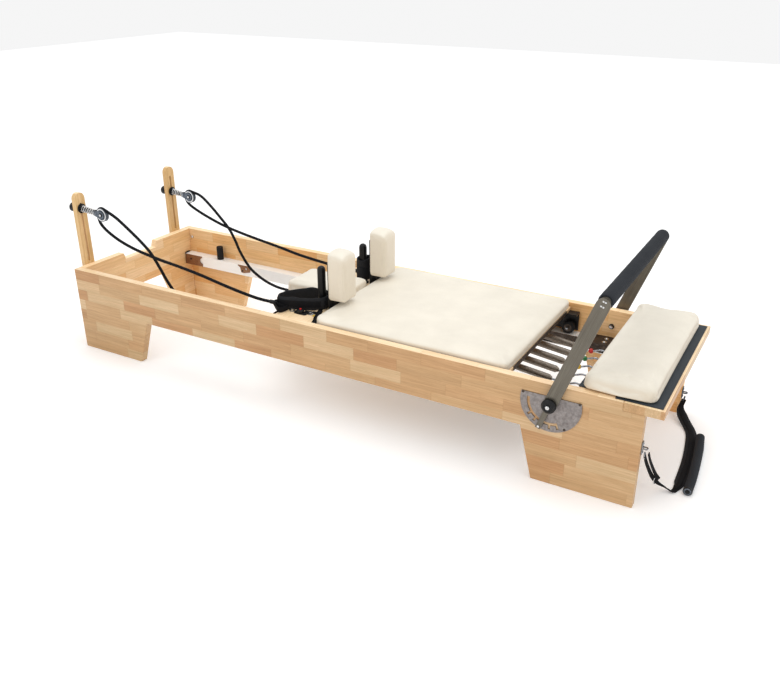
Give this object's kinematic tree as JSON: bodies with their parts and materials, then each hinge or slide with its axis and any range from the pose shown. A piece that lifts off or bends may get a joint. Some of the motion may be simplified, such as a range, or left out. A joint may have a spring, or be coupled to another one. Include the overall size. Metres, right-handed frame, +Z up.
{
  "type": "pilates reformer",
  "caption": "Wooden pilates reformer bed: sprung padded carriage with shoulder rests and headrest, swinging footbar, foot platform and rope pulleys on adjustable risers.",
  "frame": {"origin": "on the floor, under the middle of the box of the reformer without its foot strap", "axes": "+X from the head end, with the risers, to the foot end, with the footbar; +Y to the far side; +Z up"},
  "size_m": [2.5483, 0.7496, 0.6715],
  "materials": {
    "wood": "clear satin lacquer on finger-jointed blocks",
    "leatherette": "cream leatherette over foam",
    "platform_mat": "thin grained non-slip sheet",
    "foam": "matt closed-cell foam",
    "arm_steel": "dark brushed flat bar",
    "plate_steel": "mottled tumbled plate",
    "rail_aluminium": "bright extruded angle",
    "bracket_steel": "dark semi-gloss paint",
    "spring_steel": "oiled bright wire",
    "bright_steel": "plated",
    "black_plastic": "moulded, slightly shiny",
    "black_rubber": "moulded",
    "sheave_plastic": "pale translucent",
    "webbing": "woven nylon",
    "rope": "braided sheath",
    "red": "dipped ball",
    "green": "dipped ball",
    "yellow": "dipped ball"
  },
  "bodies": {
    "frame": {"near_side_panel": "wood", "far_side_panel": "wood", "head_end_panel": "wood", "foot_platform": "wood", "platform_mat": "platform_mat", "near_rail": "rail_aluminium", "far_rail": "rail_aluminium", "near_stopper": "black_rubber", "far_stopper": "black_rubber", "near_riser": "wood", "far_riser": "wood", "spring_bar": "bracket_steel", "near_quadrant": "plate_steel", "far_quadrant": "plate_steel", "near_strap_clip": "bright_steel", "far_strap_clip": "bright_steel", "foot_strap": "webbing", "near_rope": "rope", "far_rope": "rope", "spring_1": "spring_steel", "spring_2": "spring_steel", "spring_3": "spring_steel", "spring_4": "spring_steel", "spring_5": "spring_steel", "spring_hook_1": "red", "spring_hook_2": "green", "spring_hook_3": "yellow", "spring_hook_4": "green", "spring_hook_5": "red"},
    "carriage": {"carriage_deck": "wood", "carriage_mat": "leatherette", "near_wheel_beam": "black_plastic", "far_wheel_beam": "black_plastic", "near_peg": "black_plastic", "far_peg": "black_plastic", "near_hand_strap": "webbing", "far_hand_strap": "webbing"},
    "headrest": {"headrest": "leatherette"},
    "platform_pad": {"platform_pad": "leatherette"},
    "footbar": {"near_arm": "arm_steel", "far_arm": "arm_steel", "footbar_tube": "arm_steel", "footbar_grip": "foam"},
    "near_head_wheel": {"near_head_wheel": "black_rubber"},
    "near_foot_wheel": {"near_foot_wheel": "black_rubber"},
    "far_head_wheel": {"far_head_wheel": "black_rubber"},
    "far_foot_wheel": {"far_foot_wheel": "black_rubber"},
    "near_shoulder_rest": {"near_shoulder_bracket": "black_plastic", "near_shoulder_pad": "leatherette"},
    "far_shoulder_rest": {"far_shoulder_bracket": "black_plastic", "far_shoulder_pad": "leatherette"},
    "near_pivot_knob": {"near_pivot_knob": "black_plastic"},
    "far_pivot_knob": {"far_pivot_knob": "black_plastic"},
    "near_pulley": {"near_pulley_block": "bracket_steel"},
    "near_riser_knob": {"near_riser_knob": "black_plastic"},
    "near_sheave": {"near_sheave": "sheave_plastic"},
    "far_pulley": {"far_pulley_block": "bracket_steel"},
    "far_riser_knob": {"far_riser_knob": "black_plastic"},
    "far_sheave": {"far_sheave": "sheave_plastic"}
  },
  "joints": [
    {"name": "carriage_slide", "type": "slide", "parent": "frame", "child": "carriage", "axis": [1, 0, 0], "range_m": [-0.72, 0], "stiffness_N_per_m": 350, "springref_m": 0.06, "deforming": ["spring_1", "spring_2", "spring_3", "spring_4", "spring_5", "near_rope", "far_rope"]},
    {"name": "near_head_wheel_spin", "type": "hinge", "parent": "carriage", "child": "near_head_wheel", "pos_m": [-0.173, -0.284, 0.2643], "axis": [0, 1, 0], "continuous": true},
    {"name": "near_foot_wheel_spin", "type": "hinge", "parent": "carriage", "child": "near_foot_wheel", "pos_m": [0.741, -0.284, 0.2643], "axis": [0, 1, 0], "continuous": true},
    {"name": "far_head_wheel_spin", "type": "hinge", "parent": "carriage", "child": "far_head_wheel", "pos_m": [-0.173, 0.284, 0.2643], "axis": [0, 1, 0], "continuous": true},
    {"name": "far_foot_wheel_spin", "type": "hinge", "parent": "carriage", "child": "far_foot_wheel", "pos_m": [0.741, 0.284, 0.2643], "axis": [0, 1, 0], "continuous": true},
    {"name": "near_shoulder_rest_lift", "type": "slide", "parent": "carriage", "child": "near_shoulder_rest", "axis": [0, 0, 1], "range_m": [0, 0.06]},
    {"name": "far_shoulder_rest_lift", "type": "slide", "parent": "carriage", "child": "far_shoulder_rest", "axis": [0, 0, 1], "range_m": [0, 0.06]},
    {"name": "headrest_tilt", "type": "hinge", "parent": "carriage", "child": "headrest", "pos_m": [-0.015, 0, 0.372], "axis": [0, 1, 0], "range_deg": [0, 40]},
    {"name": "platform_pad_lift", "type": "slide", "parent": "frame", "child": "platform_pad", "axis": [0, 0, 1], "range_m": [0, 0.08]},
    {"name": "footbar_swing", "type": "hinge", "parent": "frame", "child": "footbar", "pos_m": [0.893, 0, 0.288], "axis": [0, 1, 0], "range_deg": [-40, 75]},
    {"name": "near_pivot_knob_turn", "type": "hinge", "parent": "footbar", "child": "near_pivot_knob", "pos_m": [0.893, 0, 0.288], "axis": [0, 1, 0], "continuous": true},
    {"name": "far_pivot_knob_turn", "type": "hinge", "parent": "footbar", "child": "far_pivot_knob", "pos_m": [0.893, 0, 0.288], "axis": [0, 1, 0], "continuous": true},
    {"name": "near_pulley_height", "type": "slide", "parent": "frame", "child": "near_pulley", "axis": [0, 0, 1], "range_m": [-0.215, 0.016]},
    {"name": "near_riser_knob_turn", "type": "hinge", "parent": "near_pulley", "child": "near_riser_knob", "pos_m": [-1.173, -0.26, 0.587], "axis": [1, 0, 0], "continuous": true},
    {"name": "near_sheave_spin", "type": "hinge", "parent": "near_pulley", "child": "near_sheave", "pos_m": [-1.053, -0.26, 0.577], "axis": [0, 1, 0], "continuous": true},
    {"name": "far_pulley_height", "type": "slide", "parent": "frame", "child": "far_pulley", "axis": [0, 0, 1], "range_m": [-0.168, 0.064]},
    {"name": "far_riser_knob_turn", "type": "hinge", "parent": "far_pulley", "child": "far_riser_knob", "pos_m": [-1.173, 0.26, 0.539], "axis": [1, 0, 0], "continuous": true},
    {"name": "far_sheave_spin", "type": "hinge", "parent": "far_pulley", "child": "far_sheave", "pos_m": [-1.063, 0.26, 0.528], "axis": [0, 1, 0], "continuous": true}
  ],
  "couplings": [
    {"joint": "near_head_wheel_spin", "follows": "carriage_slide", "rad_per_m": 41.667},
    {"joint": "near_foot_wheel_spin", "follows": "carriage_slide", "rad_per_m": 41.667},
    {"joint": "far_head_wheel_spin", "follows": "carriage_slide", "rad_per_m": 41.667},
    {"joint": "far_foot_wheel_spin", "follows": "carriage_slide", "rad_per_m": 41.667}
  ]
}
